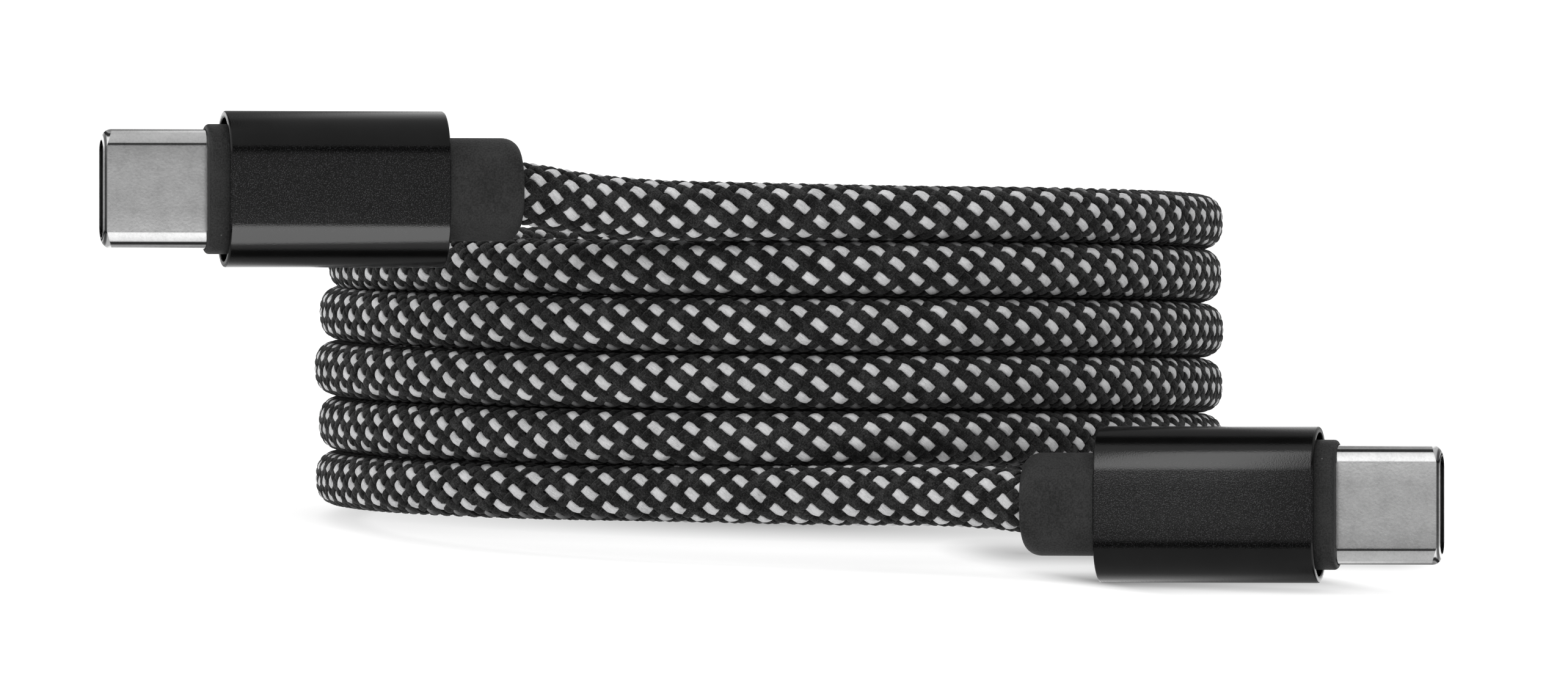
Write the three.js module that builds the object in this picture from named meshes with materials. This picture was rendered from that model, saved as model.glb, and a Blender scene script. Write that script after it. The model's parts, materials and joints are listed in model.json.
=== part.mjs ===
// Braided charging cable with a metal-sleeved plug at each end, wound into one layer of standing turns.
// Millimetres, +Z up. The side that is looked at is -Y. Plug A points to -X and plug B to +X.
import * as THREE from 'three';

// ---- Coil: turns of cable standing on each other round a vertical axis ----
const TURN_PITCH = 3.94; // from one turn to the next, and so the height of a pressed cable
const COIL_RADIUS = 30.3; // axis to the middle of the cable
const LEAVE_ANGLE = 11.5; // degrees round from the front where the first turn leaves the circle
const FULL_TURNS = 5; // from the front of the first turn to the front of the last
const STEPS_PER_TURN = 24;
const COIL_CORE_WIDE = 4.4; // pressed cable, across the coil
const COIL_CORE_FLAT = 2.7; // width of its flat top and bottom
const TURN_CLEARANCE = 0.46; // left open between neighbouring turns of the solid
const TURN_HEIGHT = TURN_PITCH - TURN_CLEARANCE;
const LEAST_GAP_ALLOWED = 0.4;

// ---- Leads: the cable from the coil to each plug, straight in plan ----
const CABLE_RADIUS = 2.1; // free cable
const LEAD_SIDES = 8;
const LEAD_STEPS = 12;
const FACE_GAP = 0.3; // between the ends of two cable solids
const LEAD_A_REACH = 23.73; // from where the turn leaves the circle to the end of the plug
const LEAD_B_REACH = 24.24;
const PLUG_A_RISE = 1.32; // plug axis above the line of the first turn
const PLUG_B_DROP = 0.42; // plug axis below the line of the last turn
// Distance from the circle, and how far the cable has risen from the line of the turn by then.
const LEAD_A_ROUTE = [[9.2, 0], [11.2, 0], [13, 0.01], [14.75, 0.06], [16.5, 0.17], [18.2, 0.3],
  [19.9, 0.5], [21.65, 0.78], [22.4, 0.92], [23.3, 1.04]];
const LEAD_B_ROUTE = [[10.2, 0], [13.25, 0.05], [16.3, 0.1], [18.8, 0.11], [20.85, 0.05], [22.15, -0.03],
  [22.95, -0.1], [23.85, -0.2]];
const PLUG_LEVEL = 0.6; // degrees that the plugs are turned against the turns, seen from the front

// ---- Plug, measured from its tip: x runs back along it, y through it, z across its width ----
const FIT = 0.05; // clearance of pieces that slide into each other
const SHELL_WIDE = 8.25;
const SHELL_THICK = 2.4;
const SHELL_WALL = 0.3;
const SHELL_LIP = 0.5; // radius of the rolled edge at the mouth
const SHELL_OUT = 7.23; // length that stands out of the collar
const SHELL_SEATED = 3.45; // length held inside the plug
const COLLAR_WALL = 0.375; // collar beside the shell
const COLLAR_EDGE = 0.3;
const COLLAR_OUT = 1.32; // length in front of the sleeve
const COLLAR_LENGTH = 2.0;
const MOUTH_GAP_WIDE = 0.465; // between collar and sleeve, across the plug
const MOUTH_GAP_THICK = 0.3; // and through it
const SLEEVE_WALL = 0.45;
const SLEEVE_EDGE = 0.12;
const SLEEVE_LENGTH = 15.42;
const RELIEF_WALL_WIDE = 1.475; // strain relief beside the cable, across the plug
const RELIEF_WALL_THICK = 0.5; // and through it
const RELIEF_CORNER = 2.2;
const RELIEF_OUT = 5.31; // length behind the sleeve
const RELIEF_BLOCK = 4.85; // length held inside the sleeve
const RELIEF_ROUND_LONG = 1.3; // rounding of the rear edge, along the plug
const RELIEF_ROUND_WIDE = 1.12; // and across its width
const RELIEF_ROUND_THICK = 0.3; // and through its thickness
const BLOCK_WALL = 0.35; // strain relief between ferrule and sleeve
const BORE_CLEARANCE = 0.1; // of the cable in the strain relief
const FERRULE_LENGTH = 2.2;
const FERRULE_WALL = 0.28;
const BRAID_THICK = 0.23; // stripped off the cable inside the ferrule
const HOUSING_STEP = 0.13; // the front of the insulator is thinner, to leave room for the springs
const HOUSING_FRONT = 0.6;
const HOUSING_LENGTH = 8.9;
const HOUSING_STEP_LENGTH = 3.4;
const SLOT_HALF = 0.57; // half height of the slot for the tongue and both rows of contacts
const CONTACT_COUNT = 12;
const CONTACT_MARGIN = 0.62; // from the side of the slot to the outermost contact
const CONTACT_WIDE = 0.25;
const CONTACT_THICK = 0.1;
const CONTACT_INNER = 0.43; // contacts start this far from the middle plane
const CONTACT_FRONT = 1.4;
const CONTACT_BEAM = 5.0;
const CONTACT_BAR = 3.0;
const CONTACT_TAIL = 1.2;
const WAFER_MARGIN = 0.295; // from the side of the slot
const LATCH_MARGIN = 0.145; // from the side of the slot
const LATCH_THICK = 0.16;
const LATCH_ARM_WIDE = 0.25;
const LATCH_HOOK = 0.12;
const SPRING_MARGIN = 0.425; // from where the shell begins to curve
const SPRING_THICK = 0.08;
const SPRING_LENGTH = 2.7;
const SPRING_FINGERS = 4;
const SPRING_FINGER_WIDE = 0.7;
const SPRING_SPINE = 0.8;
const CARD_THICK = 0.7;
const CARD_MARGIN = 0.575; // from the outside of the shell
const CARD_LENGTH = 7.15;
const CHIP_SIZE = [2.5, 0.75, 2.4]; // along, through and across the plug
const CHIP_SETBACK = 2.6;
const CAN_GAP = 0.15; // between shell and can
const CAN_THICK = 3.5;
const CAN_WALL = 0.2;
const CAN_LENGTH = 7.7;
const POWER_WIRE_RADIUS = 0.45;
const SIGNAL_WIRE_RADIUS = 0.3;
const WIRE_ON_CARD = 1.5; // length of a wire that lies on the card
const WIRE_STRAIGHT = 0.5; // straight length of a wire in front of the cable's end
const WIRE_SIDES = 8;
const WIRE_STEPS = 6;
const FINE_CORNER = 6; // steps in each quarter of a section
const PLAIN_CORNER = 5;
const ROUND_CORNER = 4;
const INNER_CORNER = 3;
// name, radius, side of the card, place across the card, place at the cable's end (through, across), colour
const WIRES = [
  ['wire_power', POWER_WIRE_RADIUS, 1, 2.1, 0.55, 0.8, 0xa02018],
  ['wire_ground', POWER_WIRE_RADIUS, 1, -2.1, 0.55, -0.8, 0x151515],
  ['wire_cc', SIGNAL_WIRE_RADIUS, 1, 0, 1.1, 0, 0x2850a0],
  ['wire_data_plus', SIGNAL_WIRE_RADIUS, -1, 1.1, -0.8, 0.5, 0x2c7a3a],
  ['wire_data_minus', SIGNAL_WIRE_RADIUS, -1, -1.1, -0.8, -0.5, 0xd8d8d4],
];
const BALANCE = [0, -4]; // the part's centre of mass, seen along the coil's axis

// ---- Widths and thicknesses that follow from the sizes, from the inside out ----
const STRIPPED_RADIUS = CABLE_RADIUS - BRAID_THICK;
const FERRULE_RADIUS = STRIPPED_RADIUS + FIT + FERRULE_WALL;
const HOUSING_WIDE = SHELL_WIDE - 2 * (SHELL_WALL + FIT);
const HOUSING_THICK = SHELL_THICK - 2 * (SHELL_WALL + FIT);
const SLOT_INSET = HOUSING_THICK / 2 - SLOT_HALF;
const SLOT_HALF_WIDE = HOUSING_WIDE / 2 - SLOT_INSET;
const CONTACT_PITCH = (2 * (SLOT_HALF_WIDE - CONTACT_MARGIN) - CONTACT_WIDE) / (CONTACT_COUNT - 1);
const WAFER_HALF_WIDE = SLOT_HALF_WIDE - WAFER_MARGIN;
const LATCH_HALF_WIDE = SLOT_HALF_WIDE - LATCH_MARGIN;
const SPRING_HALF_WIDE = (SHELL_WIDE - SHELL_THICK) / 2 - SPRING_MARGIN;
const CARD_WIDE = SHELL_WIDE - 2 * CARD_MARGIN;
const CAN_WIDE = SHELL_WIDE + 2 * (CAN_GAP + CAN_WALL);
const COLLAR_WIDE = SHELL_WIDE + 2 * COLLAR_WALL;
const SLEEVE_INNER_WIDE = COLLAR_WIDE + 2 * MOUTH_GAP_WIDE;
const SLEEVE_INNER_THICK = 2 * (FERRULE_RADIUS + BLOCK_WALL + 2 * FIT);
const COLLAR_THICK = SLEEVE_INNER_THICK - 2 * MOUTH_GAP_THICK;
const SLEEVE_WIDE = SLEEVE_INNER_WIDE + 2 * SLEEVE_WALL;
const SLEEVE_THICK = SLEEVE_INNER_THICK + 2 * SLEEVE_WALL;
const RELIEF_WIDE = 2 * (CABLE_RADIUS + RELIEF_WALL_WIDE);
const RELIEF_THICK = 2 * (CABLE_RADIUS + RELIEF_WALL_THICK);

// ---- Places along the plug that follow from the sizes ----
const SHELL_LENGTH = SHELL_OUT + SHELL_SEATED;
const COLLAR_FRONT = SHELL_OUT;
const COLLAR_REAR = COLLAR_FRONT + COLLAR_LENGTH;
const SLEEVE_FRONT = SHELL_OUT + COLLAR_OUT;
const SLEEVE_REAR = SLEEVE_FRONT + SLEEVE_LENGTH;
const PLUG_LENGTH = SLEEVE_REAR + RELIEF_OUT;
const BLOCK_FRONT = SLEEVE_REAR - RELIEF_BLOCK;
const BLOCK_REAR = SLEEVE_REAR - 2 * FIT;
const HOUSING_REAR = HOUSING_FRONT + HOUSING_LENGTH;
const CARD_FRONT = HOUSING_REAR + 2 * FIT;
const CARD_REAR = CARD_FRONT + CARD_LENGTH;
const CAN_FRONT = COLLAR_REAR + 2 * FIT;
const BAR_FRONT = CONTACT_FRONT + CONTACT_BEAM;
const BAR_REAR = BAR_FRONT + CONTACT_BAR;
const FERRULE_FRONT = BLOCK_FRONT + FIT;
const FERRULE_REAR = FERRULE_FRONT + FERRULE_LENGTH;
const ENTRY_FRONT = FERRULE_FRONT - 4 * FIT;
const STRIP_END = FERRULE_REAR + 2 * FIT;

// ---- Materials ----
const STEEL = [0xb4b4b2, 0.3, 1];
const BLACK_ALUMINIUM = [0x17181a, 0.45, 0.6];
const BLACK_MOULDED = [0x1c1c1d, 0.7, 0];
const BRAIDED_FABRIC = [0x2b2b2c, 0.9, 0];
const GOLD_PLATE = [0xc8a050, 0.3, 1];
const BRASS = [0xb08850, 0.4, 1];
const INNER_PLASTIC = [0x262627, 0.6, 0];
const BOARD_GREEN = [0x1f5a3a, 0.6, 0];

function makeMesh(name, geometry, [color, roughness, metalness]) {
  const material = new THREE.MeshStandardMaterial({ color, roughness, metalness });
  const mesh = new THREE.Mesh(geometry, material);
  mesh.name = name;
  return mesh;
}

// A closed body from rings of points. A looped stack has a hole through it; an open one is capped.
function skin(rings, looped) {
  const count = rings[0].length;
  const positions = rings.flat().flatMap((point) => [point.x, point.y, point.z]);
  const faces = [];
  const bands = looped ? rings.length : rings.length - 1;
  for (let ring = 0; ring < bands; ring += 1) {
    const here = ring * count;
    const there = ((ring + 1) % rings.length) * count;
    for (let k = 0; k < count; k += 1) {
      const next = (k + 1) % count;
      faces.push([here + k, here + next, there + next], [here + k, there + next, there + k]);
    }
  }
  if (!looped) {
    const last = (rings.length - 1) * count;
    for (let k = 1; k < count - 1; k += 1) {
      faces.push([0, k + 1, k], [last, last + k, last + k + 1]);
    }
  }
  const geometry = new THREE.BufferGeometry();
  geometry.setAttribute('position', new THREE.Float32BufferAttribute(positions, 3));
  geometry.setIndex(facingOut(positions, faces).flat());
  geometry.computeVertexNormals();
  return geometry;
}

function facingOut(positions, faces) {
  const corner = (index) => new THREE.Vector3().fromArray(positions, 3 * index);
  let volume = 0;
  for (const [a, b, c] of faces) {
    volume += corner(a).dot(corner(b).cross(corner(c)));
  }
  return volume > 0 ? faces : faces.map(([a, b, c]) => [a, c, b]);
}

// A rounded rectangle across the plug at x, with the same number of points whatever its size.
function section(x, wide, thick, corner, steps) {
  const halfWide = wide / 2;
  const halfThick = thick / 2;
  const radius = Math.min(corner, halfWide - FIT / 2, halfThick - FIT / 2);
  const points = [];
  for (let quarter = 0; quarter < 4; quarter += 1) {
    const signY = quarter === 0 || quarter === 1 ? 1 : -1;
    const signZ = quarter === 0 || quarter === 3 ? 1 : -1;
    for (let step = 0; step <= steps; step += 1) {
      const angle = (Math.PI / 2) * (quarter + step / steps);
      const y = signY * (halfThick - radius) + radius * Math.sin(angle);
      const z = signZ * (halfWide - radius) + radius * Math.cos(angle);
      points.push(new THREE.Vector3(x, y, z));
    }
  }
  return points;
}

// Sections of a stadium that is set in by the given amounts: [x, inset].
function insetSections(profile, wide, thick, steps) {
  return profile.map(([x, inset]) => section(x, wide - 2 * inset, thick - 2 * inset, thick, steps));
}

function quarterTurn(steps, place) {
  const points = [];
  for (let step = 0; step <= steps; step += 1) {
    const angle = (Math.PI / 2) * (step / steps);
    points.push(place(Math.sin(angle), Math.cos(angle)));
  }
  return points;
}

function tubeSections(x0, x1, outer, inner, steps) {
  return [
    section(x0, ...outer, steps),
    section(x1, ...outer, steps),
    section(x1, ...inner, steps),
    section(x0, ...inner, steps),
  ];
}

// A flat plate: an outline in x and z, between two heights in y.
function plate(outline, yLow, yHigh) {
  const shape = new THREE.Shape(outline.map(([x, z]) => new THREE.Vector2(x, z)));
  const geometry = new THREE.ExtrudeGeometry(shape, { depth: yHigh - yLow, bevelEnabled: false });
  geometry.rotateX(Math.PI / 2);
  geometry.translate(0, yHigh, 0);
  return geometry;
}

function round(radius) {
  return [2 * radius, 2 * radius, radius];
}

// ---- Pieces of a plug ----

// Drawn steel tube with a stadium section, its front edge rolled in round the mouth.
function shellGeometry() {
  const lip = quarterTurn(4, (s, c) => [SHELL_LIP * (1 - c), SHELL_LIP * (1 - s)]);
  const inside = SHELL_LIP - SHELL_WALL;
  const innerLip = quarterTurn(2, (s, c) => [SHELL_LIP - inside * s, SHELL_LIP - inside * c]);
  const profile = [...lip, [SHELL_LENGTH, 0], [SHELL_LENGTH, SHELL_WALL], ...innerLip];
  return skin(insetSections(profile, SHELL_WIDE, SHELL_THICK, PLAIN_CORNER), true);
}

// Black insulator that fills the shell and leaves the slot for the tongue.
function housingGeometry() {
  const stepAt = HOUSING_FRONT + HOUSING_STEP_LENGTH;
  const profile = [
    [HOUSING_FRONT, HOUSING_STEP],
    [stepAt, HOUSING_STEP],
    [stepAt, 0],
    [HOUSING_REAR, 0],
    [HOUSING_REAR, SLOT_INSET],
    [HOUSING_FRONT, SLOT_INSET],
  ];
  return skin(insetSections(profile, HOUSING_WIDE, HOUSING_THICK, INNER_CORNER), true);
}

// One row of contacts: beams in front, solder tails behind, held in line by their bar.
function contactsGeometry(side) {
  const tailEnd = BAR_REAR + CONTACT_TAIL;
  const across = (index) => CONTACT_PITCH * (index - (CONTACT_COUNT - 1) / 2);
  const front = [];
  const rear = [];
  for (let index = 0; index < CONTACT_COUNT; index += 1) {
    const low = across(index) - CONTACT_WIDE / 2;
    const high = across(index) + CONTACT_WIDE / 2;
    front.push([BAR_FRONT, low], [CONTACT_FRONT, low], [CONTACT_FRONT, high], [BAR_FRONT, high]);
    rear.unshift([BAR_REAR, high], [tailEnd, high], [tailEnd, low], [BAR_REAR, low]);
  }
  const outer = CONTACT_INNER + CONTACT_THICK;
  return plate([...front, ...rear], ...layer(side, CONTACT_INNER, outer));
}

function layer(side, near, far) {
  return side > 0 ? [near, far] : [-far, -near];
}

// Moulded strip that carries a row of contacts.
function waferGeometry(side) {
  const outline = rectangle(BAR_FRONT + FIT, BAR_REAR - FIT, WAFER_HALF_WIDE);
  return plate(outline, ...layer(side, LATCH_THICK / 2 + FIT, CONTACT_INNER - FIT / 2));
}

function rectangle(x0, x1, halfWide) {
  return [[x0, -halfWide], [x1, -halfWide], [x1, halfWide], [x0, halfWide]];
}

// Steel middle plate whose two side arms latch into the socket.
function latchGeometry() {
  const front = CONTACT_FRONT + FIT;
  const hookRear = front + 4 * LATCH_HOOK;
  const outer = LATCH_HALF_WIDE;
  const inner = outer - LATCH_ARM_WIDE;
  const tip = inner - LATCH_HOOK;
  const half = [[BAR_REAR, outer], [front, outer], [front, tip], [front + LATCH_HOOK, tip],
    [hookRear, inner], [BAR_FRONT, inner]];
  const mirrored = half.map(([x, z]) => [x, -z]).reverse();
  return plate([...half, ...mirrored], -LATCH_THICK / 2, LATCH_THICK / 2);
}

// Grounding spring: a thin strip with fingers, between the insulator and the shell.
function springGeometry(side) {
  const front = HOUSING_FRONT + 4 * FIT;
  const rear = front + SPRING_LENGTH;
  const spine = rear - SPRING_SPINE;
  const pitch = (2 * SPRING_HALF_WIDE - SPRING_FINGER_WIDE) / (SPRING_FINGERS - 1);
  const outline = [[rear, SPRING_HALF_WIDE], [rear, -SPRING_HALF_WIDE]];
  for (let index = 0; index < SPRING_FINGERS; index += 1) {
    const low = -SPRING_HALF_WIDE + index * pitch;
    const high = low + SPRING_FINGER_WIDE;
    outline.push([spine, low], [front, low], [front, high], [spine, high]);
  }
  const near = HOUSING_THICK / 2 - HOUSING_STEP + FIT;
  return plate(outline, ...layer(side, near, near + SPRING_THICK));
}

function cardGeometry() {
  return plate(rectangle(CARD_FRONT, CARD_REAR, CARD_WIDE / 2), -CARD_THICK / 2, CARD_THICK / 2);
}

function chipGeometry() {
  const [long, thick, wide] = CHIP_SIZE;
  const front = CARD_FRONT + CHIP_SETBACK;
  const low = CARD_THICK / 2 + FIT;
  return plate(rectangle(front, front + long, wide / 2), low, low + thick);
}

function canGeometry() {
  const outer = [CAN_WIDE, CAN_THICK, CAN_THICK];
  const inner = [CAN_WIDE - 2 * CAN_WALL, CAN_THICK - 2 * CAN_WALL, CAN_THICK];
  return skin(tubeSections(CAN_FRONT, CAN_FRONT + CAN_LENGTH, outer, inner, INNER_CORNER), true);
}

// Plastic moulded round the can and the solder joints: the sleeve is pushed over it.
function innerMouldGeometry() {
  const outer = [SLEEVE_INNER_WIDE - 2 * FIT, SLEEVE_INNER_THICK - 2 * FIT, SLEEVE_INNER_THICK];
  const inner = [CAN_WIDE + 2 * FIT, CAN_THICK + 2 * FIT, CAN_THICK];
  return skin(tubeSections(COLLAR_REAR + FIT, BLOCK_FRONT - FIT, outer, inner, INNER_CORNER), true);
}

// Black moulded collar in the mouth of the sleeve, with the shell through it.
function collarGeometry() {
  const bore = [SHELL_WIDE + 2 * FIT, SHELL_THICK + 2 * FIT, SHELL_THICK];
  const edge = quarterTurn(3, (s, c) => {
    const inset = COLLAR_EDGE * (1 - s);
    const wide = COLLAR_WIDE - 2 * inset;
    const thick = COLLAR_THICK - 2 * inset;
    return section(COLLAR_FRONT + COLLAR_EDGE * (1 - c), wide, thick, COLLAR_THICK, PLAIN_CORNER);
  });
  return skin([
    section(COLLAR_FRONT, ...bore, PLAIN_CORNER),
    ...edge,
    section(COLLAR_REAR, COLLAR_WIDE, COLLAR_THICK, COLLAR_THICK, PLAIN_CORNER),
    section(COLLAR_REAR, ...bore, PLAIN_CORNER),
  ], true);
}

// Aluminium sleeve: a stadium tube with small chamfers at both ends.
function sleeveGeometry() {
  const profile = [
    [SLEEVE_FRONT, SLEEVE_EDGE],
    [SLEEVE_FRONT + SLEEVE_EDGE, 0],
    [SLEEVE_REAR - SLEEVE_EDGE, 0],
    [SLEEVE_REAR, SLEEVE_EDGE],
    [SLEEVE_REAR, SLEEVE_WALL],
    [SLEEVE_FRONT, SLEEVE_WALL],
  ];
  return skin(insetSections(profile, SLEEVE_WIDE, SLEEVE_THICK, FINE_CORNER), true);
}

// Soft strain relief: a block inside the sleeve and a rounded stub behind it, with the cable's bore.
function reliefGeometry() {
  const steps = ROUND_CORNER;
  const blockWide = SLEEVE_INNER_WIDE - 2 * FIT;
  const blockThick = SLEEVE_INNER_THICK - 2 * FIT;
  const stubFront = SLEEVE_REAR + FIT;
  const roundFront = PLUG_LENGTH - RELIEF_ROUND_LONG;
  const ferruleBore = FERRULE_RADIUS + FIT;
  const cableBore = CABLE_RADIUS + BORE_CLEARANCE / 2;
  const rear = quarterTurn(4, (s, c) => {
    const wide = RELIEF_WIDE - 2 * RELIEF_ROUND_WIDE * (1 - c);
    const thick = RELIEF_THICK - 2 * RELIEF_ROUND_THICK * (1 - c);
    return section(roundFront + RELIEF_ROUND_LONG * s, wide, thick, RELIEF_CORNER, steps);
  });
  return skin([
    section(BLOCK_FRONT, blockWide, blockThick, blockThick, steps),
    section(BLOCK_REAR, blockWide, blockThick, blockThick, steps),
    section(BLOCK_REAR, RELIEF_WIDE, blockThick, RELIEF_CORNER, steps),
    section(stubFront, RELIEF_WIDE, blockThick, RELIEF_CORNER, steps),
    section(stubFront, RELIEF_WIDE, RELIEF_THICK, RELIEF_CORNER, steps),
    ...rear,
    section(PLUG_LENGTH, ...round(cableBore), steps),
    section(STRIP_END - FIT, ...round(cableBore), steps),
    section(STRIP_END - FIT, ...round(ferruleBore), steps),
    section(BLOCK_FRONT, ...round(ferruleBore), steps),
  ], true);
}

function ferruleGeometry() {
  const outer = round(FERRULE_RADIUS);
  const inner = round(STRIPPED_RADIUS + FIT);
  return skin(tubeSections(FERRULE_FRONT, FERRULE_REAR, outer, inner, ROUND_CORNER), true);
}

// The cable's own end: stripped inside the ferrule, whole inside the strain relief.
function cableEndGeometry() {
  const whole = CABLE_RADIUS - FIT;
  return skin([
    section(ENTRY_FRONT, ...round(STRIPPED_RADIUS), ROUND_CORNER),
    section(STRIP_END, ...round(STRIPPED_RADIUS), ROUND_CORNER),
    section(STRIP_END, ...round(whole), ROUND_CORNER),
    section(PLUG_LENGTH - FIT, ...round(whole), ROUND_CORNER),
  ], false);
}

function wireGeometry([, radius, side, across, endThrough, endAcross]) {
  const height = side * (CARD_THICK / 2 + FIT + radius);
  const wireEnd = ENTRY_FRONT - 2 * FIT;
  const path = new THREE.CatmullRomCurve3([
    new THREE.Vector3(CARD_REAR - WIRE_ON_CARD, height, across),
    new THREE.Vector3(CARD_REAR, height, across),
    new THREE.Vector3(wireEnd - WIRE_STRAIGHT, endThrough, endAcross),
    new THREE.Vector3(wireEnd, endThrough, endAcross),
  ]);
  const circle = [];
  for (let k = 0; k < WIRE_SIDES; k += 1) {
    const angle = (2 * Math.PI * k) / WIRE_SIDES;
    circle.push(new THREE.Vector2(radius * Math.cos(angle), radius * Math.sin(angle)));
  }
  const shape = new THREE.Shape(circle);
  return new THREE.ExtrudeGeometry(shape, { steps: WIRE_STEPS, extrudePath: path });
}

function makePlug(letter) {
  const plug = new THREE.Group();
  const add = (name, geometry, material) => plug.add(makeMesh(`${name}_${letter}`, geometry, material));
  add('plug_shell', shellGeometry(), STEEL);
  add('plug_housing', housingGeometry(), BLACK_MOULDED);
  for (const [word, side] of [['upper', 1], ['lower', -1]]) {
    add(`contacts_${word}`, contactsGeometry(side), GOLD_PLATE);
    add(`contact_wafer_${word}`, waferGeometry(side), BLACK_MOULDED);
    add(`ground_spring_${word}`, springGeometry(side), STEEL);
  }
  add('latch_plate', latchGeometry(), STEEL);
  add('paddle_card', cardGeometry(), BOARD_GREEN);
  add('shield_can', canGeometry(), STEEL);
  add('inner_mould', innerMouldGeometry(), INNER_PLASTIC);
  add('front_collar', collarGeometry(), BLACK_MOULDED);
  add('sleeve', sleeveGeometry(), BLACK_ALUMINIUM);
  add('strain_relief', reliefGeometry(), BLACK_MOULDED);
  add('crimp_ferrule', ferruleGeometry(), BRASS);
  add('cable_end', cableEndGeometry(), BRAIDED_FABRIC);
  for (const wire of WIRES) {
    add(wire[0], wireGeometry(wire), [wire[6], 0.6, 0]);
  }
  return plug;
}

// ---- Cable ----

// A tube through stations, each a point and a direction. Its section is [out, up] from the middle.
function tubeGeometry(stations, outline) {
  const rings = stations.map(({ at, along }) => {
    const out = along.clone().cross(new THREE.Vector3(0, 0, 1)).normalize();
    const up = out.clone().cross(along).normalize();
    return outline.map(([u, v]) => at.clone().addScaledVector(out, u).addScaledVector(up, v));
  });
  return skin(rings, false);
}

function coilStation(degrees) {
  const angle = THREE.MathUtils.degToRad(degrees);
  const height = TURN_PITCH * (FULL_TURNS / 2 - degrees / 360);
  const at = new THREE.Vector3(COIL_RADIUS * Math.sin(angle), -COIL_RADIUS * Math.cos(angle), height);
  const fall = TURN_PITCH / (2 * Math.PI * COIL_RADIUS);
  const along = new THREE.Vector3(Math.cos(angle), Math.sin(angle), -fall).normalize();
  return { at, along };
}

function moved(station, distance) {
  return { at: station.at.clone().addScaledVector(station.along, distance), along: station.along };
}

const FIRST = coilStation(LEAVE_ANGLE);
const LAST = coilStation(360 * FULL_TURNS - LEAVE_ANGLE);

// Five turns in one unbroken tube. Each end runs straight for one cable diameter.
function coilStations() {
  const from = LEAVE_ANGLE;
  const to = 360 * FULL_TURNS - LEAVE_ANGLE;
  const steps = Math.round(((to - from) / 360) * STEPS_PER_TURN);
  const stations = [moved(FIRST, -COIL_CORE_WIDE)];
  for (let step = 0; step <= steps; step += 1) {
    stations.push(coilStation(from + ((to - from) * step) / steps));
  }
  stations.push(moved(LAST, COIL_CORE_WIDE));
  return stations;
}

function coilOutline() {
  const side = COIL_CORE_WIDE / 2;
  const flat = COIL_CORE_FLAT / 2;
  const top = TURN_HEIGHT / 2;
  return [[side, 0], [flat, top], [-flat, top], [-side, 0], [-flat, -top], [flat, -top]];
}

// Least distance between the tube's points on one turn and those at least half a turn further on.
function leastGap(geometry, sides) {
  const points = geometry.getAttribute('position');
  const apart = (STEPS_PER_TURN / 2) * sides;
  const one = new THREE.Vector3();
  const other = new THREE.Vector3();
  let least = Infinity;
  for (let i = 0; i < points.count; i += 1) {
    one.fromBufferAttribute(points, i);
    for (let j = i + apart; j < points.count; j += 1) {
      least = Math.min(least, one.distanceTo(other.fromBufferAttribute(points, j)));
    }
  }
  return least;
}

// A lead lies in the upright plane of the turn's last direction. Rises are from the turn's own line.
function leadStations(end, sign, route) {
  const start = COIL_CORE_WIDE + FACE_GAP;
  const place = (distance, rise) => {
    const point = end.at.clone().addScaledVector(end.along, sign * distance);
    point.z += rise;
    return point;
  };
  const points = [place(start, 0), ...route.map(([distance, rise]) => place(distance, rise))];
  const curve = new THREE.CatmullRomCurve3(points, false, 'centripetal');
  const stations = [];
  for (let step = 0; step <= LEAD_STEPS; step += 1) {
    const along = curve.getTangentAt(step / LEAD_STEPS);
    stations.push({ at: curve.getPointAt(step / LEAD_STEPS), along });
  }
  return { stations, length: curve.getLength() };
}

function leadOutline() {
  const outline = [];
  for (let k = 0; k < LEAD_SIDES; k += 1) {
    const angle = (2 * Math.PI * (k + 0.5)) / LEAD_SIDES;
    outline.push([CABLE_RADIUS * Math.cos(angle), CABLE_RADIUS * Math.sin(angle)]);
  }
  return outline;
}

// ---- Assembly in the coil's own frame ----

// Carries a plug so that its rear end lies where its lead arrives.
function placePlug(plug, end, sign, reach, rise) {
  plug.position.x = -PLUG_LENGTH;
  const turned = new THREE.Group();
  turned.add(plug);
  turned.rotation.set(0, sign > 0 ? Math.PI : 0, THREE.MathUtils.degToRad(-sign * LEAVE_ANGLE), 'ZYX');
  const level = new THREE.Group();
  level.add(turned);
  level.rotation.y = THREE.MathUtils.degToRad(PLUG_LEVEL);
  level.position.copy(end.at).addScaledVector(end.along, sign * reach);
  level.position.z += rise;
  return level;
}

function worldPoints(group) {
  group.updateMatrixWorld(true);
  const points = [];
  group.traverse((object) => {
    if (object.isMesh) {
      const positions = object.geometry.getAttribute('position');
      for (let k = 0; k < positions.count; k += 1) {
        const point = new THREE.Vector3().fromBufferAttribute(positions, k);
        points.push(point.applyMatrix4(object.matrixWorld));
      }
    }
  });
  return points;
}

function turnsLeft(a, b, [x, y]) {
  return (b.x - a.x) * (y - a.y) - (b.y - a.y) * (x - a.x) > 0;
}

// The three points that carry the part: the plane through them has every other point above it.
function findSeats(points, over) {
  const far = 1000;
  let seats = [
    new THREE.Vector3(-far, -far, far),
    new THREE.Vector3(far, -far, far),
    new THREE.Vector3(0, far, far),
  ];
  for (let tries = 0; tries < points.length; tries += 1) {
    const plane = new THREE.Plane().setFromCoplanarPoints(...seats);
    let lowest = null;
    let depth = -1e-6;
    for (const point of points) {
      const height = plane.distanceToPoint(point);
      if (height < depth) {
        depth = height;
        lowest = point;
      }
    }
    if (!lowest) {
      break;
    }
    const [first, second, third] = seats;
    const choices = [[lowest, second, third], [first, lowest, third], [first, second, lowest]];
    seats = choices.find(([a, b, c]) =>
      turnsLeft(a, b, over) && turnsLeft(b, c, over) && turnsLeft(c, a, over));
  }
  return seats;
}

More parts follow.
